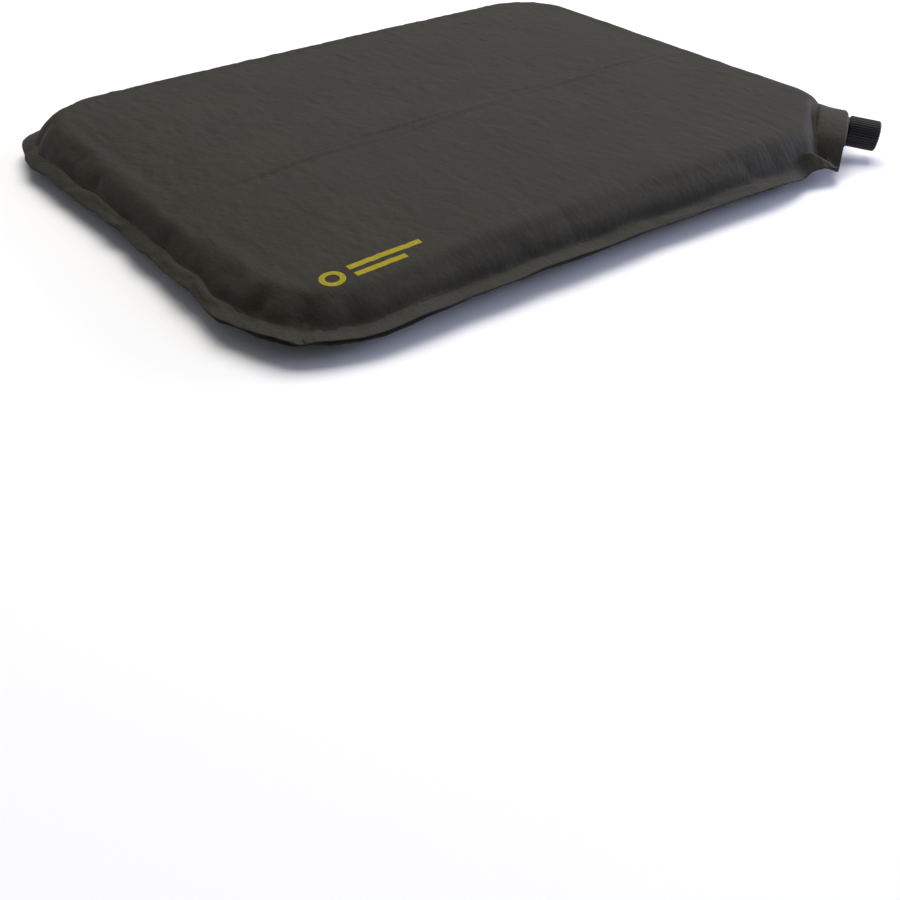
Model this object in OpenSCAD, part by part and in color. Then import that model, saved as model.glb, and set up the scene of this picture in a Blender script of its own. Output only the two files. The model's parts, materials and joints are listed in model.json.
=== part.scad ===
// Self-inflating seat pad: two coated fabric sheets welded round a foam core, with a twist valve
// in one cut corner. X runs along the pad, Y across it and +Z is up. The origin is the centre of
// the underside, where the pad lies on the ground. Sizes are in millimetres.

/* [Pad] */
// Length of the pad over the weld, along X
pad_l = 406; // [390:1:420]
// Width of the pad over the weld, along Y
pad_w = 330; // [315:1:345]
// Radius of the three round corners
corner_r = 55; // [45:1:65]
// Height of the seat's crown above the ground
pad_h = 30; // [29:0.5:34]
// Height of the weld above the ground
weld_z = 13; // [12.5:0.5:14.5]
// Width of the welded border
weld_w = 8; // [6:0.5:10]
// Width of the pad's rounded side, seen from above
side_run = 14; // [10:0.5:18]
// Thickness of one coated sheet
sheet_t = 0.4; // [0.3:0.05:0.6]

/* [Valve corner] */
// Length cut off the corner along X
cut_x = 55; // [48:1:58]
// Length cut off the corner along Y
cut_y = 47; // [42:1:52]
// Width of the welded border along the cut
cut_weld_w = 16; // [14:0.5:18]
// Height of the valve's axis above the ground, at the cut
valve_z = 15.5; // [14.5:0.5:17]
// How far the valve points down, in degrees
valve_droop = 8; // [0:1:9]

/* [Valve body] */
// Width of the lens-shaped base that the sheets are welded to
base_w = 46; // [40:1:50]
// Height of that base
base_h = 16.4; // [15.6:0.2:17]
// How far the stem reaches in from the cut
stem_in = 14; // [13:0.5:17]
// Radius of the air passage
bore_r = 3.5; // [3.3:0.1:3.5]
// Travel of the cap in one turn
thread_lead = 3.2; // [2.8:0.1:3.2]

/* [Valve cap] */
// Outer radius over the grip ribs
cap_r = 8.3; // [8:0.1:9]
// Length of the cap
cap_l = 17; // [16:0.1:17]
// Number of grip ribs
rib_count = 36; // [24:2:40]
// Radius of the blow hole
hole_r = 2.7; // [2.6:0.05:2.9]

/* [Hidden] */
$fn = 48;

fabric_colour = [0.24, 0.23, 0.21];
foam_colour = [0.83, 0.79, 0.66];
print_colour = [0.80, 0.72, 0.10];
plastic_colour = [0.06, 0.06, 0.065];
rubber_colour = [0.12, 0.12, 0.12];

// Pad outline and section
arc_steps = 10;                    // facets in each round corner
side_steps = 5;                    // facets in the pad's side, above and below the weld
sharp_r = 2;                       // least radius of a corner deep inside the outline
ramp_l = 45;                       // length over which the weld rises to the valve
bow = 0.6;                         // how far the sides bow in where that ramp starts
side_top = 0.87;                   // height of the rounded side's top, as a part of the rise
crown = [[0.21, 0.93], [0.42, 0.98], [0.56, 1]];  // [inset / half width, part of the rise]
foam_inset = 5;                    // weld to the foam's side
mark_t = 0.15;                     // thickness of the printed film
mark_at = [-162, -133];            // left end of the mark, on its centre line

// The middle of the cut, and the direction square to the cut
cut_mid = [pad_l / 2 - cut_x / 2, -pad_w / 2 + cut_y / 2];
cut_angle = atan2(-cut_x, cut_y);
cut_normal = [cos(cut_angle), sin(cut_angle)];
cut_reach = cut_mid * cut_normal;

// Heights and radii along the valve's axis, from the cut outwards
base_ends = [-12, -0.4];
base_edge = 1;                     // thickness of the base at its two edges
sleeve_ends = [-28, 0.3];          // the stretch of both sheets that is shaped over the base
collar = [0.8, 7.2];               // [height, radius]
stem_r = 6;
neck_r = 5.9;
land = [5, 7.4];                   // from and to, along the axis
land_r = 6.4;
groove = [5.5, 6.9];
groove_r = 5.2;
stub_r = 4.9;
stub_top = 12.6;
stub_thread = [7.9, 12.2];
stub_thread_r = 5.5;
hub_r = 2.3;
hub = [8.6, 11.4];
spoke_t = 1.1;
post_r = 1.3;
head = [13.3, 14.2];
head_r = 4.2;
nose_r = 2.2;
nose_top = 16.4;
seal = [14.25, 15.25];
seal_r = 5.55;
cap_base = 1.2;
lip = 0.5;                         // depth of the ring that keeps the cap on the neck
lip_r = 6.05;
skirt_r = 6.55;
skirt_top = 7.6;
cap_bore_r = 5.65;
cap_thread = [8, 9.6];
cap_thread_r = 5.05;
thread_starts = 2;
ridge_foot = 0.5;                  // half width of a thread ridge at its foot
ridge_tip = 0.25;                  // half width at its tip
ridge_root = 0.2;                  // how deep a ridge's foot is sunk
rib_depth = 0.45;
cap_round = 1.5;                   // rounding of the cap's outer edge

// ---- The pad's outline: three round corners, and a straight cut at the valve ----

function arc(c, r, from) =
    [for (i = [0:arc_steps]) let (a = from + 90 * i / arc_steps) c + r * [cos(a), sin(a)]];

// Outline moved in by d from the sides and by e from the cut, anticlockwise from the cut's
// front end. Points 0 and 3 are where the ramps to the valve start; 1 and 2 are the cut.
function outline(d, e) =
    let (x = pad_l / 2 - d, y = pad_w / 2 - d, r = max(corner_r - d, sharp_r), k = cut_reach - e,
         front = [(k + cut_normal[1] * y) / cut_normal[0], -y],
         back = [x, (k - cut_normal[0] * x) / cut_normal[1]])
    concat(
        [front + [-ramp_l, bow], front, back, back + [-bow, ramp_l]],
        arc([x - r, y - r], r, 0), arc([r - x, y - r], r, 90), arc([r - x, r - y], r, 180));

outline_n = 4 + 3 * (arc_steps + 1);

// Height of the weld at point i of the outline, e in from the cut: level, except at the cut,
// where it slopes with the valve.
function weld_height(i, e) = i == 1 || i == 2 ? valve_z + e * tan(valve_droop) : weld_z;

// A ring of the outline at part f of the way from the weld to height z.
function ring(d, e, f, z, weld_e) =
    let (o = outline(d, e))
    [for (i = [0:outline_n - 1]) [o[i][0], o[i][1], weld_height(i, weld_e) * (1 - f) + z * f]];

// Solid through rings of n points, anticlockwise seen from the last ring's side.
module loft(rings) {
    n = len(rings[0]);
    last = len(rings) - 1;
    sides = [for (k = [0:last - 1]) for (i = [0:n - 1])
        let (a = k * n + i, b = k * n + (i + 1) % n) each [[a, a + n, b + n], [a, b + n, b]]];
    caps = [[for (i = [0:n - 1]) i], [for (i = [n - 1:-1:0]) last * n + i]];
    polyhedron([for (r = rings) each r], concat(sides, caps), convexity = 4);
}

// The whole pad without its border, shrunk by skin all round, and upright where its side is
// less than least in from the weld.
module pad_solid(skin, least = 0) {
    in = function (a) max(skin + side_run * (1 - cos(a)), least);
    side = function (f, z, a) ring(weld_w + in(a), cut_weld_w + in(a), f, z, cut_weld_w);
    turns = [for (i = [1:side_steps]) 90 * i / side_steps];
    last = side_steps - 1;
    level = function (part) weld_z + part * (pad_h - skin - weld_z);
    extra = cut_weld_w - weld_w;
    loft(concat(
        [for (i = [last:-1:0]) side(sin(turns[i]), skin, turns[i])],
        [side(0, 0, 0)],
        [for (a = turns) side(sin(a), level(side_top), a)],
        [for (c = crown) let (d = c[0] * pad_w / 2) ring(d, d + extra, 1, level(c[1]), 0)]));
}

// Everything above the weld, moved up by lift.
module above(lift) {
    out = -6;
    deep = 40;
    sky = 2 * pad_h;
    translate([0, 0, lift]) loft([
        ring(deep, deep + cut_weld_w, 1, weld_z, 0),
        ring(weld_w, cut_weld_w, 0, 0, cut_weld_w),
        ring(out, out, 0, 0, out),
        ring(out, out, 1, sky, out)]);
}

module footprint() linear_extrude(2 * pad_h) polygon(outline(0, 0));

// ---- The valve's own frame: +Z along its axis, out of the pad, from the middle of the cut ----

module at_valve() {
    translate([cut_mid[0], cut_mid[1], valve_z]) rotate([0, 0, cut_angle])
        rotate([0, 90 + valve_droop, 0]) children();
}

module tube(r, span) translate([0, 0, span[0]]) cylinder(r = r, h = span[1] - span[0]);

// Lens-shaped bar along the axis, grown by g, with blunt edges.
module lens(span, g) {
    rise = (base_h - base_edge) / 2;
    r = (pow(base_w / 2, 2) + rise * rise) / (2 * rise);
    edge = base_w / 2 + (g > 0 ? 0.7 + 0.8 * g : 0);
    intersection() {
        translate([r - base_h / 2, 0, 0]) tube(r + g, span);
        translate([base_h / 2 - r, 0, 0]) tube(r + g, span);
        translate([-base_h, -edge, span[0]]) cube([2 * base_h, 2 * edge, span[1] - span[0]]);
    }
}

// One turn-for-turn thread ridge between two radii, with its half widths there.
module ridge(r_in, w_in, r_out, w_out, span, phase) {
    turn = 360 * (span[1] - span[0]) / thread_lead;
    steps = ceil(turn / 15);
    loft([for (i = [0:steps])
        let (a = turn * i / steps + 360 * span[0] / thread_lead + phase,
             z = span[0] + (span[1] - span[0]) * i / steps)
        [for (p = [[r_in, -w_in], [r_in, w_in], [r_out, w_out], [r_out, -w_out]])
            [p[0] * cos(a), p[0] * sin(a), z + p[1]]]]);
}

// ---- Sub-parts ----

module top_sheet() color(fabric_colour) {
    difference() {
        intersection() {
            above(0);
            union() {
                pad_solid(0);
                difference() {
                    footprint();
                    above(sheet_t);
                }
                at_valve() lens(sleeve_ends, sheet_t);
            }
        }
        pad_solid(sheet_t);
        at_valve() lens(sleeve_ends + [1, 1], 0);
    }
}

module bottom_sheet() color(fabric_colour) {
    difference() {
        union() {
            pad_solid(0);
            intersection() {
                footprint();
                above(-sheet_t);
            }
            at_valve() lens(sleeve_ends, sheet_t);
        }
        above(0);
        pad_solid(sheet_t);
        at_valve() lens(sleeve_ends + [1, 1], 0);
    }
}

module foam_core() color(foam_colour) pad_solid(sheet_t, foam_inset);

module mark_shape() {
    ring_r = 6;
    bar_h = 3.4;
    translate([ring_r, 0]) difference() {
        circle(ring_r);
        circle(ring_r * 0.55);
    }
    translate([2 * ring_r + 4, 1.5]) square([39, bar_h]);
    translate([2 * ring_r + 4, -1.5 - bar_h]) square([27, bar_h]);
}

module printed_mark() color(print_colour) {
    difference() {
        intersection() {
            translate([mark_at[0], mark_at[1], weld_z]) linear_extrude(pad_h) mark_shape();
            translate([0, 0, mark_t]) pad_solid(0);
        }
        pad_solid(0);
    }
}

module valve_body() color(plastic_colour) at_valve() {
    difference() {
        union() {
            lens(base_ends, 0);
            tube(stem_r, [-stem_in, 0]);
            tube(collar[1], [base_ends[1], collar[0]]);
            tube(neck_r, [0, land[0]]);
            tube(land_r, land);
            tube(stub_r, [land[0], stub_top]);
            for (s = [0:thread_starts - 1])
                ridge(stub_r - ridge_root, ridge_foot, stub_thread_r, ridge_tip, stub_thread,
                    360 * s / thread_starts);
        }
        tube(bore_r, [-stem_in - 1, stub_top + 1]);
        difference() {
            tube(land_r + 1, groove);
            tube(groove_r, groove);
        }
    }
    difference() {
        union() {
            tube(hub_r, hub);
            for (a = [0:120:240])
                rotate([0, 0, a]) translate([0, -spoke_t / 2, hub[0]])
                    cube([bore_r + 0.3, spoke_t, hub[1] - hub[0]]);
        }
        tube(post_r, [hub[0] + 1, hub[1] + 1]);
    }
}

module valve_plug() color(plastic_colour) at_valve() {
    nose_l = nose_top - head[1];
    tube(post_r, [hub[0] + 1, head[0] + 0.2]);
    rotate_extrude() polygon([
        [0, head[0]], [head_r - 0.6, head[0]], [head_r, head[0] + 0.4], [head_r, head[1]],
        [nose_r, head[1]], [nose_r - 0.3, head[1] + nose_l * 0.7], [nose_r - 1, nose_top],
        [0, nose_top]]);
}

module stem_o_ring() color(rubber_colour) at_valve() {
    section_r = (groove[1] - groove[0]) / 2 - 0.05;
    translate([0, 0, (groove[0] + groove[1]) / 2])
        rotate_extrude() translate([groove_r + section_r, 0]) circle(section_r);
}

module cap_seal() color(rubber_colour) at_valve() {
    difference() {
        tube(seal_r, seal);
        tube(hole_r, [seal[0] - 1, seal[1] + 1]);
    }
}

module cap_outside() {
    top = cap_base + cap_l;
    step = 360 / rib_count;
    intersection() {
        translate([0, 0, cap_base]) linear_extrude(cap_l) polygon([
            for (i = [0:rib_count - 1])
                for (p = [[0.05, 0], [0.3, 1], [0.7, 1], [0.95, 0]])
                    let (a = step * (i + p[0]), r = cap_r - rib_depth * (1 - p[1]))
                        r * [cos(a), sin(a)]]);
        rotate_extrude() union() {
            translate([0, cap_base]) polygon([
                [0, 0], [cap_r - 0.5, 0], [cap_r + 0.1, 0.6], [cap_r + 0.1, cap_l - cap_round],
                [cap_r - cap_round, cap_l], [0, cap_l]]);
            translate([cap_r - cap_round, top - cap_round]) circle(cap_round);
        }
    }
}

module valve_cap() color(plastic_colour) at_valve() {
    end = cap_base + cap_l;
    difference() {
        cap_outside();
        tube(lip_r, [cap_base - 1, cap_base + lip]);
        tube(skirt_r, [cap_base + lip, skirt_top]);
        tube(cap_bore_r, [skirt_top - 1, seal[1] + 0.05]);
        tube(hole_r, [seal[1] - 1, end + 1]);
        translate([0, 0, end - 0.6]) cylinder(r1 = hole_r, r2 = hole_r + 0.9, h = 0.9);
    }
    for (s = [0:thread_starts - 1])
        ridge(cap_thread_r, ridge_tip, cap_bore_r + ridge_root, ridge_foot, cap_thread,
            360 * (s + 0.5) / thread_starts);
}

top_sheet();
bottom_sheet();
foam_core();
printed_mark();
valve_body();
valve_plug();
stem_o_ring();
cap_seal();
valve_cap();
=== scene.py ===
import json
import math

import bpy
import numpy as np
from mathutils import Matrix, Vector
from mathutils.bvhtree import BVHTree


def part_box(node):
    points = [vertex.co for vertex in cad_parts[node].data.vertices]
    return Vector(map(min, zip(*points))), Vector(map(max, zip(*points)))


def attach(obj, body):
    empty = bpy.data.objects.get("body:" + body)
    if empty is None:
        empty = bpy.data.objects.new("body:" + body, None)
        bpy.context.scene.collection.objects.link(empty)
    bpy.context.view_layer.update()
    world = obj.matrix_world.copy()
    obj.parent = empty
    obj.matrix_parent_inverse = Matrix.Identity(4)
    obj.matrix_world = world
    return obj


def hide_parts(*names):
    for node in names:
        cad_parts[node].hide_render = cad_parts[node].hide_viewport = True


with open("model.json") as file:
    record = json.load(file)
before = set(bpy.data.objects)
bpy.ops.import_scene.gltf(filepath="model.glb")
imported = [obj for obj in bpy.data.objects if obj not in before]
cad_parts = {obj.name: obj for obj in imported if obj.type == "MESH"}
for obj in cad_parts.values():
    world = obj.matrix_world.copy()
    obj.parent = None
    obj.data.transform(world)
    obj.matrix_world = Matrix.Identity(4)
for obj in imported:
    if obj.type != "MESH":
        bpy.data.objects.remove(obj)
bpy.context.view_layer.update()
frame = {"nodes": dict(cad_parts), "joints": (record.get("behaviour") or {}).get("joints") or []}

# Self-inflating seat pad. Lengths are in millimetres until a mesh is made; the frame is in metres.
MM = 0.001

top_lo, top_hi = (np.array(c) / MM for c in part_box("top_sheet"))
LENGTH, WIDTH = top_hi[0] - top_lo[0], top_hi[1] - top_lo[1]
HEIGHT, WELD = top_hi[2], top_lo[2]
SHEET = 0.4         # how far the outer skin lies outside the middle of the sheet
FLANGE = 8.0        # width of the welded border
RUN = 21.0          # width of the rounded side, from above
CORNER = 55.0       # radius of the round corners
SIDE_TOP = 0.84     # where the rounded side ends, as a part of the rise
FILLET = 0.05       # fillet at the foot of the rounded side, as a part of its width
SHOULDER = 3.1      # power of the rounded side's curve: more is a steeper foot
CUT_WELD = 15.5     # width of the welded border along the cut corner
BOW = 2.0           # how far each side pulls in at its middle
HANG = 3.4          # how far the border's edge hangs below the weld
FRONT_LIFT = 2.1    # how much less it hangs along the front
FRONT = 62.0        # how far the front left corner's softness reaches along its sides

# The grid: cells over the border and over the rounded side, the size of the others, and how many
# fine cells go to a coarse one.
BORDER_CELLS, SIDE_CELLS = 4, 5
CELL = 6.0
REFINE = 4

# The cloth: steps, pressure, how far a point may move, and how far into the foam.
FRAMES = 24
PRESSURE = 3
CAP = 3.0
SINK = 0.3

# The valve's place and direction come from the cap's joint.
turn = next(j for j in frame["joints"] if j["name"] == "cap_turn")
CUT_MID = np.array(turn["pos_m"]) / MM
AXIS = np.array(turn["axis"])
OUT = AXIS[:2] / np.linalg.norm(AXIS[:2])
ALONG = np.array([-OUT[1], OUT[0]])
DROOP = -AXIS[2] / np.linalg.norm(AXIS[:2])
CUT = np.array([55.0, 47.0])        # length cut off the corner along X and Y
ZONE = np.array([88.0, 75.0])       # part of the grid that bends round the cut corner
BASE_DEPTH = 13.0                   # how far in from the cut the sheets clear the valve's base
LENS_R, LENS_OFF = 38.2, 30.0       # the base's two faces: radius, and their centres' offset

# The fold from the body's corner out to the front end of the cut: points as X, Y and height, and
# how fast it falls away on both sides.
TIP_LINE = np.array([[100.0, -155.0, 8.0], [116.0, -155.0, 11.5], [127.0, -155.0, 15.0],
                     [133.0, -157.0, 17.0], [137.0, -159.5, 15.0], [141.0, -162.0, 12.5],
                     [147.0, -165.0, 8.5]])
TIP_SLOPE = 0.9

# Dents in the round corners: the corner's side in X and in Y, direction in degrees, width, depth,
# and how far the rim pulls in.
CORNER_DENTS = (
    (-1, -1, 15, 4.6, 3.0, 2.2), (-1, -1, 49, 4.2, 2.8, 0.0), (-1, -1, 76, 4.0, 1.1, 0.5),
    (-1, 1, 20, 4.4, 1.6, 0.6), (-1, 1, 45, 5.0, 0.6, -3.4), (-1, 1, 66, 4.0, 1.8, 0.6),
    (1, 1, 22, 4.2, 1.5, 0.8), (1, 1, 44, 4.8, 2.2, 1.2), (1, 1, 71, 4.0, 1.6, 0.6),
)
DENT_REACH = 40.0                   # how far in from the weld a dent can show


# ---- Small helpers ----

def step(t):
    """Smooth rise from 0 to 1 as t goes from 0 to 1."""
    t = np.clip(t, 0, 1)
    return t * t * (3 - 2 * t)


def soft_min(a, b, k):
    """The lower of two values, blended where they are within k of each other."""
    h = np.clip(k - np.abs(a - b), 0, None) / k
    return np.minimum(a, b) - h * h * k / 4


def soft_max(a, b, k):
    return -soft_min(-a, -b, k)


def waves(x, y, seed, count, shortest, longest):
    """Smooth random field, about -1 to 1, made of plane waves."""
    rng = np.random.default_rng(seed)
    total = np.zeros_like(x)
    for _ in range(count):
        turn_by, phase = rng.uniform(0, math.tau, 2)
        k = math.tau / rng.uniform(shortest, longest)
        total += np.sin(k * (x * math.cos(turn_by) + y * math.sin(turn_by)) + phase)
    return total / math.sqrt(count)


# ---- The pad's surface ----

def edge_lines(steps):
    """Insets of the grid lines over the border and the rounded side."""
    t = np.arange(0, (BORDER_CELLS + SIDE_CELLS) * steps + 1) / steps
    turned = np.clip((t - BORDER_CELLS) / SIDE_CELLS, 0, 1) * math.pi / 2
    over_side = FLANGE + RUN * (1 - np.cos(turned))
    return np.where(t <= BORDER_CELLS, FLANGE * t / BORDER_CELLS, over_side)


def grid_lines(length, steps):
    """Places of the grid lines along one direction of the pad."""
    edge = edge_lines(steps)
    inner = length - 2 * edge[-1]
    n = round(inner / CELL) * steps
    middle = edge[-1] + inner * np.arange(1, n) / n
    return np.concatenate([edge, middle, (length - edge)[::-1]]) - length / 2


def round_corner(p, q, flip):
    """Bends a square zone of the grid, 0 to 1 each way, into a quarter circle."""
    turned = flip * math.pi / 2
    m = np.maximum(p, q)
    return m * np.cos(turned), m * np.sin(turned)


def cut_corner(p, q, flip, breaks):
    """Bends a square zone of the grid, 0 to 1 each way, round the cut corner."""
    m = np.maximum(p, q)
    keep = 1 - CUT / ZONE
    stops = [0, *breaks, 1]
    u = m * np.interp(flip, stops, [1, 1, keep[0], 0])
    return u, m * np.interp(flip, stops, [0, keep[1], 1, 1])


def plan(steps):
    """Places of the grid's points on the flat outline, with its round corners and its cut."""
    x, y = np.meshgrid(grid_lines(LENGTH, steps), grid_lines(WIDTH, steps), indexing="ij")
    half = np.array([LENGTH, WIDTH]) / 2
    coarse_p = 1 + (grid_lines(LENGTH, 1) - half[0]) / ZONE[0]
    coarse_q = 1 - (grid_lines(WIDTH, 1) + half[1]) / ZONE[1]
    side = [1 - CUT[1] / ZONE[1], np.hypot(*(CUT / ZONE)), 1 - CUT[0] / ZONE[0]]
    ends = np.array([side[0], side[0] + side[1]]) / sum(side)
    breaks = [0.5 * coarse_q[np.argmin(np.abs(coarse_q - 2 * ends[0]))],
              1 - 0.5 * coarse_p[np.argmin(np.abs(coarse_p - 2 * (1 - ends[1])))]]
    px, py = x.copy(), y.copy()
    for sx, sy in ((1, 1), (-1, 1), (-1, -1), (1, -1)):
        at_cut = (sx, sy) == (1, -1)
        zone = ZONE if at_cut else np.array([CORNER, CORNER])
        inner = half - zone
        p, q = (sx * x - inner[0]) / zone[0], (sy * y - inner[1]) / zone[1]
        inside = (p > 0) & (q > 0)
        a, b = np.maximum(p, 1e-9), np.maximum(q, 1e-9)
        flip = np.where(a >= b, 0.5 * b / a, 1 - 0.5 * a / b)
        u, v = cut_corner(a, b, flip, breaks) if at_cut else round_corner(a, b, flip)
        px = np.where(inside, sx * (inner[0] + zone[0] * u), px)
        py = np.where(inside, sy * (inner[1] + zone[1] * v), py)
    return px, py


def from_cut(x, y):
    """(distance in from the cut, distance along it from the valve towards the back)."""
    dx, dy = x - CUT_MID[0], y - CUT_MID[1]
    return -(dx * OUT[0] + dy * OUT[1]), dx * ALONG[0] + dy * ALONG[1]


def depth(x, y):
    """How far a point is inside the weld, leaving out the cut corner."""
    hx, hy = LENGTH / 2 - FLANGE, WIDTH / 2 - FLANGE
    r = CORNER - FLANGE
    qx, qy = np.abs(x) - hx + r, np.abs(y) - hy + r
    beyond = np.hypot(np.maximum(qx, 0), np.maximum(qy, 0))
    rounded = r - beyond - np.minimum(np.maximum(qx, qy), 0)
    return np.where((x > 0) & (y < 0), soft_min(hx - x, hy + y, 10), rounded)


def inside(x, y):
    """How far a point is inside the weld, the cut corner's included."""
    return np.minimum(depth(x, y), from_cut(x, y)[0] - CUT_WELD)


def from_tip(x, y):
    """Distance from the front end of the cut."""
    return np.hypot(x - (CUT_MID[0] - CUT[0] / 2), y - (CUT_MID[1] - CUT[1] / 2))


def front_corner(x, y):
    """1 in the front left corner, falling to 0 along its sides."""
    along_x = step((-x - LENGTH / 2 + FRONT) / FRONT)
    return along_x * step((-y - WIDTH / 2 + FRONT) / FRONT)


def slack(x, y):
    """Where the pad is less full: along its left side, as far as the back corner."""
    return step((-x - 50) / 120) * (1 - step((y - 60) / 70))


def side_part(x, y):
    """How far over the rounded side a point is: 0 at the weld and 1 where the side ends.

    Along the cut the border is widest at the valve, and the side gets wider towards the ends.
    """
    e, w = from_cut(x, y)
    weld_w = CUT_WELD + 1 - 6 * step((-20 - w) / 18) - 5 * step((w - 10) / 16)
    at_cut = (e - weld_w) / (8 + 6 * step((w - 8) / 20) + 3 * step((-18 - w) / 16))
    return np.clip(soft_min(depth(x, y) / (RUN + 5 * front_corner(x, y)), at_cut, 0.7), 0, 1)


def tip_ridge(x, y):
    """Height of the fold that runs from the body's corner out to the front end of the cut."""
    height = np.full_like(x, -1e9)
    for a, b in zip(TIP_LINE[:-1], TIP_LINE[1:]):
        way = (b - a)[:2]
        t = np.clip(((x - a[0]) * way[0] + (y - a[1]) * way[1]) / (way @ way), 0, 1)
        far = np.hypot(x - a[0] - t * way[0], y - a[1] - t * way[1])
        height = np.maximum(height, a[2] + t * (b - a)[2] - TIP_SLOPE * far)
    return height


def weld_height(x, y):
    """Height of the middle surface that both sheets are welded on.

    It rises to the valve, drops in front of it and a little along the front's right half, hangs
    towards its edge, dips in the corners' dents, and follows the fold at the cut's front end.
    """
    e, w = from_cut(x, y)
    at_valve = (1 - step((np.abs(w) - 20) / 13)) * (1 - step((e - BASE_DEPTH) / 24))
    level = np.full_like(x, WELD)
    level -= 8.0 * step((-18.5 - w) / 15) * (1 - step((e - 6) / 26))
    level -= 1.6 * step((x - 52) / 62) * (1 - step((y + WIDTH / 2) / 34))
    front = 1 - step((y + WIDTH / 2 - 47) / 26)
    hang = HANG - FRONT_LIFT * front - 0.4 * front_corner(x, y)
    level -= hang * np.clip(-depth(x, y) / FLANGE, 0, 1) ** 1.2 * step((e - 14) / 30)
    for at, across, wide, deep, _ in corner_dents():
        inwards, aside = from_dent(x, y, at, across)
        here = np.exp(-(aside / wide) ** 2) * (1 - step((inwards - 2) / 7))
        level -= 0.45 * deep * here * (inwards < DENT_REACH)
    level = soft_max(level, tip_ridge(x, y), 4.0)
    level += 0.6 * waves(x, y, 11, 14, 26, 80) * step(np.hypot(x - 176, y + 142) / 60 - 0.5)
    return level * (1 - at_valve) + (CUT_MID[2] + DROOP * e) * at_valve


def valve_rise(x, y):
    """Half the height of the tunnel that the sheets make over the valve's base."""
    e, w = from_cut(x, y)
    clearance = 0.3
    bulge = np.sqrt(np.maximum(LENS_R ** 2 - w ** 2, 0)) - LENS_OFF + clearance
    return soft_max(bulge, np.zeros_like(bulge), 2.0) * (1 - step((e - BASE_DEPTH - 2) / 4))


def crown(x, y):
    """How far the seat has risen from the side's top to its full height, 0 to 1."""
    e, _ = from_cut(x, y)
    grow = 1.0
    for inset in (LENGTH / 2 - np.abs(x), WIDTH / 2 - np.abs(y), e):
        grow = grow * (1 - np.exp(-np.maximum(inset - FLANGE - 14, 0) / 32))
    return grow


def surfaces(x, y):
    """Bow the outline and return the top and bottom surfaces as (n, m, 3) arrays."""
    e, w = from_cut(x, y)
    f = profile(side_part(x, y))
    mid = weld_height(x, y)
    tip = from_tip(x, y)
    side_top = SIDE_TOP - 0.2 * slack(x, y)
    seat = WELD + (HEIGHT - WELD) * (side_top + (1 - side_top) * crown(x, y))
    seat -= 4.0 * np.exp(-(tip / 28) ** 2) + 1.5 * front_corner(x, y)
    tunnel = valve_rise(x, y)
    rise = ((f * (seat - mid)) ** 4 + tunnel ** 4) ** 0.25
    fall = ((f * mid) ** 4 + tunnel ** 4) ** 0.25

    hx, hy = LENGTH / 2, WIDTH / 2
    bow_x = BOW * np.cos(math.pi * y / WIDTH) ** 2 * (np.abs(x) / hx) ** 3 * np.sign(x)
    bow_y = BOW * np.cos(math.pi * x / LENGTH) ** 2 * (np.abs(y) / hy) ** 3 * np.sign(y)
    far = step((e - 8) / 40)
    wobble = 0.6 * (1 - f) * far
    ox = x - bow_x + wobble * waves(x, y, 5, 12, 18, 60) - 3.5 * np.exp(-(tip / 14) ** 2)
    oy = y - bow_y + wobble * waves(x, y, 6, 12, 18, 60)
    oy = oy + 4.5 * (1 - f) * np.exp(-((x - 127) / 12) ** 2) * (1 - step((y + WIDTH / 2) / 30))
    for at, across, wide, _, pull in corner_dents():
        inwards, aside = from_dent(x, y, at, across)
        near = np.exp(-(aside / (3 * wide)) ** 2)
        near = near * (inwards < 30) * pull * (1 - f)
        ox, oy = ox - across[0] * near, oy - across[1] * near
    return np.stack([ox, oy, mid + rise], -1), np.stack([ox, oy, mid - fall], -1)


def corner_dents():
    """Dents in the corners: place on the weld, way out, width, depth and how far the rim pulls in."""
    dents = []
    hx, hy = LENGTH / 2 - CORNER, WIDTH / 2 - CORNER
    for sx, sy, angle, wide, deep, pull in CORNER_DENTS:
        turned = math.radians(angle)
        across = np.array([sx * math.cos(turned), sy * math.sin(turned)])
        at = np.array([sx * hx, sy * hy]) + (CORNER - FLANGE) * across
        dents.append((at, across, wide, deep, pull))
    return dents


def from_dent(x, y, at, across):
    """(distance in from a dent's place on the weld, distance to the side of it)."""
    dx, dy = x - at[0], y - at[1]
    return -(dx * across[0] + dy * across[1]), dx * across[1] - dy * across[0]


def profile(t):
    """Height over the rounded side, as a part of the rise: a small fillet, then a round shoulder."""
    t = t - FILLET * (1 - np.exp(-t / FILLET)) * (1 - t)
    return 1 - (1 - t) ** SHOULDER


def normals(p):
    """Unit normals of a surface grid, pointing up."""
    n = np.cross(np.gradient(p, axis=0), np.gradient(p, axis=1))
    return n / np.maximum(np.linalg.norm(n, axis=-1, keepdims=True), 1e-9)


# ---- Meshes ----

def make_object(name, verts, faces, smooth=True):
    """Makes an object of points in millimetres."""
    mesh = bpy.data.meshes.new(name)
    mesh.from_pydata((np.asarray(verts) * MM).tolist(), [], faces)
    mesh.validate()
    mesh.polygons.foreach_set("use_smooth", [smooth] * len(mesh.polygons))
    mesh.update()
    obj = bpy.data.objects.new(name, mesh)
    bpy.context.scene.collection.objects.link(obj)
    return obj


def grid_faces(n, m, start, flip):
    """Quads of an n by m grid whose first point has the index start."""
    i, j = np.meshgrid(np.arange(n - 1), np.arange(m - 1), indexing="ij")
    a = (start + i * m + j).ravel()
    quad = np.stack([a, a + m, a + m + 1, a + 1], -1)
    return (quad[:, ::-1] if flip else quad).tolist()


def rim(n, m):
    """Indices of a grid's border, anticlockwise from above."""
    ix = np.arange(n * m).reshape(n, m)
    return np.concatenate([ix[:-1, 0], ix[-1, :-1], ix[:0:-1, -1], ix[0, :0:-1]])


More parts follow.
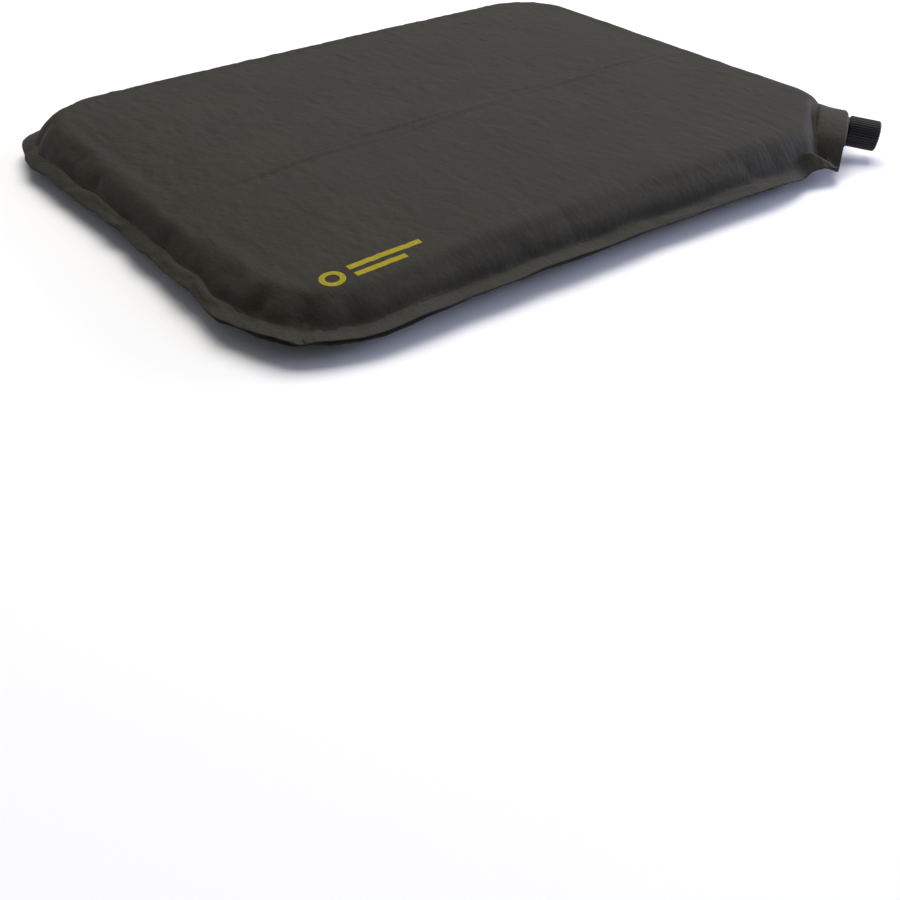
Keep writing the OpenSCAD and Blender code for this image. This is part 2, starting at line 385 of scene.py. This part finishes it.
def shell(name, outer, inner, up):
    """Closed thin sheet: a fine outer grid and a coarser inner one, stitched along the rim."""
    n, m = outer.shape[:2]
    cn, cm = inner.shape[:2]
    faces = grid_faces(n, m, 0, not up) + grid_faces(cn, cm, n * m, up)
    fine, coarse = rim(n, m), rim(cn, cm) + n * m
    ratio = len(fine) // len(coarse)
    for k in range(len(coarse)):
        run = [int(fine[(k * ratio + i) % len(fine)]) for i in range(ratio + 1)]
        ends = [int(coarse[(k + 1) % len(coarse)]), int(coarse[k])]
        face = run[::-1] + ends[::-1]
        faces.append(face if up else face[::-1])
    return make_object(name, np.concatenate([outer.reshape(-1, 3), inner.reshape(-1, 3)]), faces)


def add_values(obj, name, kind, key, values):
    """Stores a value for each point of the fine outer grid, for the material."""
    data = np.zeros((len(obj.data.vertices), *values.shape[1:]), np.float32)
    data[:len(values)] = values
    layer = obj.data.attributes.new(name, kind, "POINT")
    layer.data.foreach_set(key, data.ravel())


# ---- Cloth ----

def flat_plan(x, y):
    """The sheet laid flat: the rounded side is as wide as the way over it."""
    t = side_part(x, y)
    at, way = way_over()
    extra = (way[-1] - np.interp(t, at, way) - RUN * (1 - t))[..., None]
    h = 0.5
    gx, gy = depth(x + h, y) - depth(x - h, y), depth(x, y + h) - depth(x, y - h)
    norm = np.maximum(np.hypot(gx, gy), 1e-6)
    out = -np.stack([gx / norm, gy / norm], -1)
    e, _ = from_cut(x, y)
    return np.stack([x, y], -1) + out * extra * step((e - 10) / 50)[..., None]


def way_over():
    """Parts of the rounded side, and the length of the way over it from the weld to each."""
    t = np.linspace(0, 1, 60)
    z = SIDE_TOP * (HEIGHT - WELD) * profile(t)
    steps = np.hypot(np.diff(t * RUN), np.diff(z))
    return t, np.concatenate([[0], np.cumsum(steps)])


def supported(move, out):
    """The foam behind a sheet keeps it from moving in by more than SINK."""
    along = (move * out).sum(-1, keepdims=True)
    return move - out * np.minimum(along + SINK, 0)


def simulate(top, bottom, x, y):
    """Inflates both sheets as cloth, welded at the border and bonded to the foam inside it."""
    n, m = x.shape
    count = n * m
    welded = (side_part(x, y) <= 0.001).ravel()
    upper = np.arange(count)
    lower = np.where(welded, upper, upper + count)
    middle = (top + bottom) / 2
    start = np.concatenate([np.where(welded[:, None], middle.reshape(-1, 3), top.reshape(-1, 3)),
                            bottom.reshape(-1, 3)])
    quads = np.array(grid_faces(n, m, 0, False))
    in_weld = welded[quads].all(1)
    faces = quads.tolist() + lower[quads[~in_weld]][:, ::-1].tolist()
    used = np.unique(np.concatenate([upper, lower]))
    index = np.full(2 * count, -1)
    index[used] = np.arange(len(used))
    obj = make_object("cloth", start[used], [[int(index[v]) for v in f] for f in faces])

    flat = np.concatenate([flat_plan(x, y).reshape(-1, 2)] * 2)
    flat = np.concatenate([flat, start[:, 2:] * 0], 1)[used]
    obj.shape_key_add(name="Basis")
    rest = obj.shape_key_add(name="flat")
    rest.data.foreach_set("co", (flat * MM).ravel())
    rest.value = 0
    e, _ = from_cut(x, y)
    bonded = np.maximum(step((inside(x, y) - RUN + 8) / 12), 1 - step((e - 26) / 26))
    bonded = np.concatenate([bonded.ravel()] * 2)[used].round(2)
    pin = obj.vertex_groups.new(name="bonded")
    for value in np.unique(bonded):
        pin.add(np.nonzero(bonded == value)[0].tolist(), float(value), "REPLACE")
    blown = obj.vertex_groups.new(name="blown")
    blown.add(np.nonzero(~np.concatenate([welded] * 2)[used])[0].tolist(), 1, "REPLACE")

    cloth = obj.modifiers.new("cloth", "CLOTH")
    s = cloth.settings
    s.quality = 8
    s.mass = 0.1
    s.tension_stiffness = s.compression_stiffness = 25
    s.shear_stiffness = 10
    s.bending_stiffness = 0.6
    s.tension_damping = s.compression_damping = s.shear_damping = 15
    s.bending_damping = 2
    s.air_damping = 4
    s.vertex_group_mass = "bonded"
    s.pin_stiffness = 5
    s.rest_shape_key = rest
    s.use_pressure = True
    s.uniform_pressure_force = PRESSURE
    s.vertex_group_pressure = "blown"
    s.effector_weights.gravity = 0
    cloth.collision_settings.use_collision = False
    cloth.collision_settings.use_self_collision = False
    cloth.point_cache.frame_start, cloth.point_cache.frame_end = 1, FRAMES
    scene = bpy.context.scene
    for at in range(1, FRAMES + 1):
        scene.frame_set(at)
        bpy.context.view_layer.update()
    made = obj.evaluated_get(bpy.context.evaluated_depsgraph_get()).to_mesh()
    after = np.zeros(len(used) * 3)
    made.vertices.foreach_get("co", after)
    after = after.reshape(-1, 3) / MM
    scene.frame_set(1)
    bpy.data.objects.remove(obj)

    moved = after - start[used]
    size = np.linalg.norm(moved, axis=1, keepdims=True)
    moved *= np.tanh(size / CAP) * CAP / np.maximum(size, 1e-6)
    top_move, bottom_move = (moved[index[side]].reshape(n, m, 3) for side in (upper, lower))
    return supported(top_move, normals(top)), supported(bottom_move, -normals(bottom))


def finer(field, steps):
    """Catmull-Rom interpolation of a coarse grid's values onto the fine grid."""
    def weights(n):
        w = np.zeros(((n - 1) * steps + 1, n))
        for k in range(len(w)):
            i, t = min(k // steps, n - 2), k / steps - min(k // steps, n - 2)
            taps = [(-t + 2 * t * t - t ** 3) / 2, (2 - 5 * t * t + 3 * t ** 3) / 2,
                    (t + 4 * t * t - 3 * t ** 3) / 2, (t ** 3 - t * t) / 2]
            for j, tap in zip(range(i - 1, i + 3), taps):
                w[k, min(max(j, 0), n - 1)] += tap
        return w
    return np.einsum("ia,jb,abc->ijc", weights(field.shape[0]), weights(field.shape[1]), field,
                     optimize=True)


# ---- Creases and wrinkles, as heights along the surface's normal ----

def fold(x, y):
    """The crease where the pad was folded for packing: two fine lines with a low ridge between."""
    middle = -17.0 + 0.022 * x + 1.8 * np.sin(x / 43 + 0.6) + 0.9 * np.sin(x / 17) + 0.4 * np.sin(x / 6)
    off = y - middle
    half = 3.6 + 1.1 * np.sin(x / 47 + 2) + 0.5 * np.sin(x / 11)
    fade = [np.clip(0.8 + 0.6 * waves(x, 0 * y, seed, 7, 30, 130), 0.05, 1.7) for seed in (3, 4, 9)]
    ends = step((LENGTH / 2 - 24 - np.abs(x)) / 16)
    ridge = 0.55 * np.exp(-(off / 4.0) ** 2) * fade[0]
    back_line = (0.2 * np.exp(-((off - half - 2.6) / 1.6) ** 2)
                 - 0.5 * np.exp(-((off - half) / 1.4) ** 2)) * fade[1]
    front_line = -0.55 * np.exp(-((off + half) / 1.5) ** 2) * fade[2]
    return 1.5 * (ridge + back_line + front_line) * ends


def wrinkles(x, y):
    """Short shallow ridges, most of them across the pad, as a coated fabric shows over foam."""
    rng = np.random.default_rng(23)
    total = np.zeros_like(x)
    count, margin = 2800, 14
    for _ in range(count):
        cx = rng.uniform(-LENGTH / 2 + margin, LENGTH / 2 - margin)
        cy = rng.uniform(-WIDTH / 2, WIDTH / 2)
        turned = math.pi / 2 + rng.normal(0, 0.30)
        long_, wide = rng.uniform(3.5, 10), rng.uniform(1.1, 1.7)
        high = rng.choice([-1, 1]) * rng.uniform(0.05, 0.27)
        bend = rng.normal(0, 0.008)
        near = (np.abs(x - cx) < 2.4 * long_) & (np.abs(y - cy) < 2.4 * long_)
        dx, dy = x[near] - cx, y[near] - cy
        a = dx * math.cos(turned) + dy * math.sin(turned)
        b = -dx * math.sin(turned) + dy * math.cos(turned) + bend * a * a
        total[near] += high * np.exp(-(a / long_) ** 2 - (b / wide) ** 2)
    return total * step((inside(x, y) - 3) / 14)


def side_dents():
    """Small dents spaced unevenly along the four straight sides."""
    rng = np.random.default_rng(8)
    hx, hy = LENGTH / 2 - FLANGE, WIDTH / 2 - FLANGE
    dents = []
    for side in range(4):
        length, width = (hx, hy) if side % 2 == 0 else (hy, hx)
        s = -length + CORNER
        while s < length - CORNER + FLANGE:
            across = np.array([0.0, 1.0]) if side % 2 == 0 else np.array([1.0, 0.0])
            across = across * (1 if side < 2 else -1)
            at = np.array([s, 0.0]) if side % 2 == 0 else np.array([0.0, s])
            wide, deep = rng.uniform(2.2, 4.5), rng.uniform(0.1, 0.4)
            dents.append((at + across * width, across, wide, deep, 0))
            s += rng.uniform(14, 40)
    return dents


def puckers(x, y):
    """Dents down the rounded side, deepest in the round corners."""
    total = np.zeros_like(x)
    for at, across, wide, deep, _ in corner_dents() + side_dents():
        inwards, aside = from_dent(x, y, at, across)
        aside = aside + 0.06 * inwards
        grow = wide * (1 + np.maximum(inwards, 0) / 22)
        window = step((inwards + 1) / 5) * (1 - step((inwards - 4) / 15)) * (inwards < DENT_REACH)
        total -= deep * np.exp(-(aside / grow) ** 2) * window
    e, _ = from_cut(x, y)
    return total * step((e - 20) / 30)


# ---- Build the two sheets ----

x, y = plan(1)
top, bottom = surfaces(x, y)
top_move, bottom_move = simulate(top, bottom, x, y)

fx, fy = plan(REFINE)
top_fine, bottom_fine = surfaces(fx, fy)
deep = inside(fx, fy)
weld_mask = 1 - step(side_part(fx, fy) / 0.09)
bumps = waves(fx, fy, 31, 40, 3.0, 6.5) * 0.05 * weld_mask * step((from_cut(fx, fy)[0] - 3) / 6)
relief = fold(fx, fy) + wrinkles(fx, fy) + puckers(fx, fy) + bumps
on_side = 1 - step((deep - RUN + 6) / 6)
under = (0.7 * wrinkles(-fx, fy) + puckers(fx, fy)) * on_side + bumps
top_fine = top_fine + finer(top_move, REFINE)
bottom_fine = bottom_fine + finer(bottom_move, REFINE)
bottom_fine[..., 2] = np.maximum(bottom_fine[..., 2], 0)
up = normals(top_fine)
down = -normals(bottom_fine)
top_skin = top_fine + up * (relief + SHEET)[..., None]
bottom_skin = bottom_fine + down * (under + SHEET)[..., None]
bottom_skin[..., 2] = np.maximum(bottom_skin[..., 2], 0.02)
inset = 0.02 + 0.9 * step((deep - 1) / 6)
take = np.s_[::REFINE, ::REFINE]
top_inner = (top_fine + up * (relief - inset)[..., None])[take]
bottom_inner = (bottom_fine + down * (under - inset)[..., None])[take]

flat = flat_plan(fx, fy).reshape(-1, 2)
flat = np.concatenate([flat, np.zeros((len(flat), 1))], 1)
pieces = []
for name, outer, inner, is_top in (("seat_cover", top_skin, top_inner, True),
                                   ("base_cover", bottom_skin, bottom_inner, False)):
    obj = shell(name, outer, inner, is_top)
    add_values(obj, "weld", "FLOAT", "value", weld_mask.ravel())
    add_values(obj, "flat", "FLOAT_VECTOR", "vector", flat * MM)
    pieces.append(obj)
seat_cover, base_cover = pieces


# ---- Foam, seen only if the sheets are taken off ----

def foam_block(name):
    """The foam slab between the sheets, upright along its cut sides."""
    inset, valve_room = 5.0, 24.0
    gap_above, gap_below = 1.8, 1.6
    gx, gy = plan(1)
    gx = gx * ((LENGTH / 2 - FLANGE - inset) / (LENGTH / 2))
    gy = gy * ((WIDTH / 2 - FLANGE - inset) / (WIDTH / 2))
    e, _ = from_cut(gx, gy)
    pull = np.maximum(valve_room - e, 0)
    gx, gy = gx - OUT[0] * pull, gy - OUT[1] * pull
    upper, lower = surfaces(gx, gy)
    mottle = 0.25 * waves(gx, gy, 77, 24, 5, 14)
    dents = puckers(gx, gy)
    upper[..., 2] += mottle - gap_above + dents
    lower[..., 2] += gap_below - mottle - dents
    n, m = gx.shape
    edge = rim(n, m)
    faces = grid_faces(n, m, 0, False) + grid_faces(n, m, n * m, True)
    for k in range(len(edge)):
        a, b = int(edge[k]), int(edge[(k + 1) % len(edge)])
        faces.append([a + n * m, b + n * m, b, a])
    return make_object(name, np.concatenate([upper.reshape(-1, 3), lower.reshape(-1, 3)]), faces)


foam = foam_block("foam_slab")


# ---- Printed mark: a plain ring and two bars ----

def mark_outline():
    """Strips of the mark as lists of (left point, right point) pairs along each shape."""
    left, middle_y, r, hole = -162.0, -133.0, 6.0, 0.55
    turns = np.linspace(0, math.tau, 49)
    strips = [[((left + r + r * math.cos(a), middle_y + r * math.sin(a)),
                (left + r + hole * r * math.cos(a), middle_y + hole * r * math.sin(a)))
               for a in turns]]
    start, high = left + 2 * r + 4, 3.4
    for long_, low in ((39.0, 1.5), (27.0, -4.9)):
        strips.append([((start + s, middle_y + low + high), (start + s, middle_y + low))
                       for s in np.linspace(0, long_, round(long_) + 1)])
    return strips


def mark_mesh(name, onto):
    """Lays the mark's strips on a piece as thin closed films, five points across on each face."""
    tree = BVHTree.FromObject(onto, bpy.context.evaluated_depsgraph_get())
    verts, faces = [], []
    for strip in mark_outline():
        closed = math.dist(strip[0][0], strip[-1][0]) < 1e-6
        rows = strip[:-1] if closed else strip
        start = len(verts)
        for a, b in rows:
            for lift in (0.1, -0.1):
                for t in (0, 0.25, 0.5, 0.75, 1):
                    px, py = a[0] + (b[0] - a[0]) * t, a[1] + (b[1] - a[1]) * t
                    above = Vector((px, py, 80)) * MM
                    hit = tree.ray_cast(above, Vector((0, 0, -1)))[0]
                    verts.append((px, py, hit.z / MM + lift))
        n = len(rows)
        for k in range(n if closed else n - 1):
            a, b = start + 10 * k, start + 10 * ((k + 1) % n)
            for c in range(4):
                faces.append([a + c, b + c, b + c + 1, a + c + 1])
                faces.append([a + c + 6, b + c + 6, b + c + 5, a + c + 5])
            faces.append([a + 5, b + 5, b, a])
            faces.append([a + 4, b + 4, b + 9, a + 9])
        if not closed:
            for a, order in ((start, 1), (start + 10 * (n - 1), -1)):
                face = [a, a + 1, a + 2, a + 3, a + 4, a + 9, a + 8, a + 7, a + 6, a + 5]
                faces.append(face[::order])
    return make_object(name, verts, faces, smooth=False)


bpy.context.view_layer.update()
mark = mark_mesh("seat_mark", seat_cover)


# ---- Materials ----

class Nodes:
    """Short ways to build a node tree."""

    def __init__(self, name):
        self.material = bpy.data.materials.new(name)
        self.material.use_nodes = True
        self.tree = self.material.node_tree
        self.shader = self.tree.nodes["Principled BSDF"]

    def add(self, kind, settings=(), **inputs):
        node = self.tree.nodes.new("ShaderNode" + kind)
        for key, value in dict(settings).items():
            setattr(node, key, value)
        for key, value in inputs.items():
            self.put(node, key.replace("_", " "), value)
        return node

    def put(self, node, key, value):
        socket = node.inputs[int(key)] if key.isdigit() else node.inputs[key]
        if isinstance(value, bpy.types.NodeSocket):
            self.tree.links.new(value, socket)
        else:
            socket.default_value = value

    def math(self, how, a, b=0.0, c=0.0):
        node = self.tree.nodes.new("ShaderNodeMath")
        node.operation = how
        for i, value in enumerate((a, b, c)):
            self.put(node, str(i), value)
        return node.outputs[0]

    def mix(self, factor, a, b):
        node = self.tree.nodes.new("ShaderNodeMix")
        node.data_type = "RGBA"
        for i, value in ((0, factor), (6, a), (7, b)):
            self.put(node, str(i), value)
        return node.outputs[2]

    def span(self, value, low, high, to_low=0.0, to_high=1.0):
        node = self.tree.nodes.new("ShaderNodeMapRange")
        for i, v in enumerate((value, low, high, to_low, to_high)):
            self.put(node, str(i), v)
        return node.outputs[0]

    def noise(self, vector, scale, detail=3.0, rough=0.55):
        node = self.add("TexNoise", Vector=vector, Scale=scale, Detail=detail, Roughness=rough)
        return node.outputs["Fac"]

    def bump(self, height, strength, distance, below=None):
        node = self.add("Bump", Height=height, Strength=strength, Distance=distance)
        if below is not None:
            self.put(node, "Normal", below)
        return node.outputs["Normal"]


def fabric():
    """Coated polyester: a fine plain weave, faint mottling, and an embossed welded border."""
    m = Nodes("coated_fabric")
    flat_at = m.add("Attribute", {"attribute_name": "flat"}).outputs["Vector"]
    weld = m.add("Attribute", {"attribute_name": "weld"}).outputs["Fac"]
    parts = m.add("SeparateXYZ", Vector=flat_at)
    thread_pair = 0.95 * MM
    rate = math.tau / thread_pair
    across = m.math("SINE", m.math("MULTIPLY", parts.outputs[0], rate))
    along = m.math("SINE", m.math("MULTIPLY", parts.outputs[1], rate))
    weave = m.math("MULTIPLY", across, along)
    slub = m.noise(m.add("Mapping", Vector=flat_at, Scale=(800, 420, 1)).outputs[0], 1.0, 2.0)
    grain = m.noise(flat_at, 1500.0, 2.0)
    broad = m.noise(flat_at, 22.0, 4.0)
    patchy = m.noise(flat_at, 140.0, 3.0)
    base = m.mix(m.span(broad, 0.35, 0.65), (0.0235, 0.0211, 0.0146, 1),
                 (0.0285, 0.0254, 0.0178, 1))
    tone = m.math("ADD", m.math("MULTIPLY", weave, 0.10), m.math("MULTIPLY", slub, 0.28))
    tone = m.math("ADD", tone, m.math("MULTIPLY", patchy, 0.25))
    base = m.mix(m.span(tone, 0.1, 0.5), m.mix(0.30, base, (0.009, 0.008, 0.005, 1)),
                 m.mix(0.10, base, (0.07, 0.064, 0.050, 1)))
    border = m.mix(0.10, base, (0.07, 0.065, 0.053, 1))
    m.put(m.shader, "Base Color", m.mix(weld, base, border))
    rough = m.span(m.math("ADD", grain, m.math("MULTIPLY", weld, -0.3)), 0.2, 0.8, 0.66, 0.80)
    m.put(m.shader, "Roughness", rough)
    m.put(m.shader, "Specular IOR Level", 0.14)
    m.put(m.shader, "Sheen Weight", 0.02)
    m.put(m.shader, "Sheen Roughness", 0.45)
    emboss = m.math("MULTIPLY", m.noise(flat_at, 420.0, 3.0), weld)
    normal = m.bump(emboss, 0.5, 0.0005)
    stretched = m.add("Mapping", Vector=flat_at, Scale=(360, 200, 1)).outputs[0]
    crinkle = m.noise(stretched, 1.0, 4.0, 0.6)
    normal = m.bump(crinkle, 0.7, 0.0007, normal)
    thread = m.math("ADD", m.math("MULTIPLY", weave, 0.5), m.math("MULTIPLY", grain, 0.8))
    m.put(m.shader, "Normal", m.bump(thread, 0.35, 0.00012, normal))
    return m.material


def foam_material():
    """Pale yellow foam with open cells about 1 mm across."""
    m = Nodes("open_cell_foam")
    at = m.add("TexCoord").outputs["Object"]
    cells = m.add("TexVoronoi", Vector=at, Scale=900.0).outputs["Distance"]
    broad = m.noise(at, 40.0)
    m.put(m.shader, "Base Color", m.mix(m.span(broad, 0.3, 0.7), (0.66, 0.58, 0.38, 1),
                                        (0.76, 0.69, 0.50, 1)))
    m.put(m.shader, "Roughness", m.span(cells, 0.0, 0.6, 0.95, 0.8))
    m.put(m.shader, "Subsurface Weight", 0.05)
    m.put(m.shader, "Normal", m.bump(cells, 0.8, 0.0006))
    return m.material


def print_material():
    """Thin matte yellow film, slightly worn."""
    m = Nodes("yellow_print")
    at = m.add("TexCoord").outputs["Object"]
    worn = m.noise(at, 900.0, 3.0)
    m.put(m.shader, "Base Color", m.mix(m.span(worn, 0.35, 0.7), (0.32, 0.26, 0.0, 1),
                                        (0.24, 0.195, 0.0, 1)))
    m.put(m.shader, "Specular IOR Level", 0.1)
    m.put(m.shader, "Roughness", m.span(worn, 0.3, 0.7, 0.45, 0.62))
    m.put(m.shader, "Normal", m.bump(worn, 0.3, 0.0001))
    return m.material


def plastic():
    """Black moulded plastic with a fine spark-eroded grain and slightly rubbed high spots."""
    m = Nodes("black_plastic")
    at = m.add("TexCoord").outputs["Object"]
    grain = m.noise(at, 2600.0, 3.0, 0.6)
    smudge = m.noise(at, 160.0, 3.0)
    m.put(m.shader, "Base Color", m.mix(m.span(smudge, 0.35, 0.7), (0.011, 0.011, 0.0115, 1),
                                        (0.019, 0.019, 0.0195, 1)))
    m.put(m.shader, "Roughness", m.span(m.math("ADD", grain, smudge), 0.7, 1.3, 0.42, 0.56))
    m.put(m.shader, "Specular IOR Level", 0.3)
    m.put(m.shader, "Normal", m.bump(grain, 0.25, 0.00008))
    return m.material


def rubber():
    """Matte black rubber."""
    m = Nodes("black_rubber")
    at = m.add("TexCoord").outputs["Object"]
    grain = m.noise(at, 1800.0, 2.0)
    m.put(m.shader, "Base Color", m.mix(grain, (0.016, 0.016, 0.016, 1), (0.028, 0.027, 0.027, 1)))
    m.put(m.shader, "Roughness", m.span(grain, 0.3, 0.7, 0.6, 0.78))
    m.put(m.shader, "Normal", m.bump(grain, 0.3, 0.00006))
    return m.material


def dress(obj, material):
    """Gives an object its only material."""
    obj.data.materials.clear()
    obj.data.materials.append(material)


cloth_material = fabric()
for obj, material in ((seat_cover, cloth_material), (base_cover, cloth_material),
                      (foam, foam_material()), (mark, print_material())):
    dress(obj, material)
hard, soft = plastic(), rubber()
for node, material in (("valve_body", hard), ("valve_plug", hard), ("valve_cap", hard),
                       ("stem_o_ring", soft), ("cap_seal", soft)):
    for slot in frame["nodes"][node].material_slots:
        slot.material = material

for obj, node, slot in ((seat_cover, "top_sheet", "coated_fabric"),
                        (base_cover, "bottom_sheet", "coated_fabric"),
                        (foam, "foam_core", "open_cell_foam"),
                        (mark, "printed_mark", "yellow_print")):
    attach(obj, "pad")
    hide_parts(node)


# ---- Floor, lights and camera ----

def floor():
    """Plain pale floor, wide enough for every view."""
    reach = 9000
    corners = [(-reach, -reach, 0), (reach, -reach, 0), (reach, reach, 0), (-reach, reach, 0)]
    obj = make_object("floor", corners, [[0, 1, 2, 3]], smooth=False)
    m = Nodes("pale_floor")
    at = m.add("TexCoord").outputs["Object"]
    m.put(m.shader, "Base Color", m.mix(m.noise(at, 3.0), (0.90, 0.90, 0.90, 1),
                                        (0.93, 0.93, 0.93, 1)))
    m.put(m.shader, "Roughness", 0.9)
    dress(obj, m.material)


def lamp(name, place, target, size, power, colour):
    """Adds a rectangular area light that points at the target. Places are in metres."""
    light = bpy.data.lights.new(name, "AREA")
    light.shape = "RECTANGLE"
    light.size, light.size_y = size
    light.energy = power
    light.color = colour
    obj = bpy.data.objects.new(name, light)
    obj.location = place
    aim = Vector(target) - Vector(place)
    obj.rotation_euler = aim.to_track_quat("-Z", "Y").to_euler()
    bpy.context.scene.collection.objects.link(obj)


floor()
lamp("overhead", (0.85, 0.9, 2.4), (0, 0, 0), (2.4, 2.4), 92, (1.0, 0.975, 0.92))
lamp("window", (1.9, -0.35, 0.5), (0.1, -0.05, 0), (1.0, 0.8), 26, (0.72, 0.74, 1.0))
lamp("fill", (1.5, -1.5, 1.0), (0.1, -0.15, 0), (1.4, 0.8), 14, (0.60, 0.66, 1.0))
world = bpy.data.worlds.new("studio")
world.use_nodes = True
background = world.node_tree.nodes["Background"]
background.inputs["Color"].default_value = (0.86, 0.90, 1, 1)
background.inputs["Strength"].default_value = 0.24
bpy.context.scene.world = world
bpy.context.scene.view_settings.view_transform = "Standard"

# The camera looks at the pad from the photo's viewing angle.
right = Vector((0.80513434, -0.59291126, -0.01466057))
upward = Vector((0.35214048, 0.45800106, 0.81623043))
back = right.cross(upward)
turned = Matrix((right, upward, back)).transposed()
camera = bpy.data.objects.new("camera", bpy.data.cameras.new("camera"))
camera.data.lens = 50
camera.data.sensor_width = 36
camera.data.clip_start = 0.01
camera.data.clip_end = 50
place = Vector((-0.3996, -0.5560, 0.2767))
camera.matrix_world = Matrix.LocRotScale(place, turned.to_quaternion(), None)
bpy.context.scene.collection.objects.link(camera)
bpy.context.scene.camera = camera
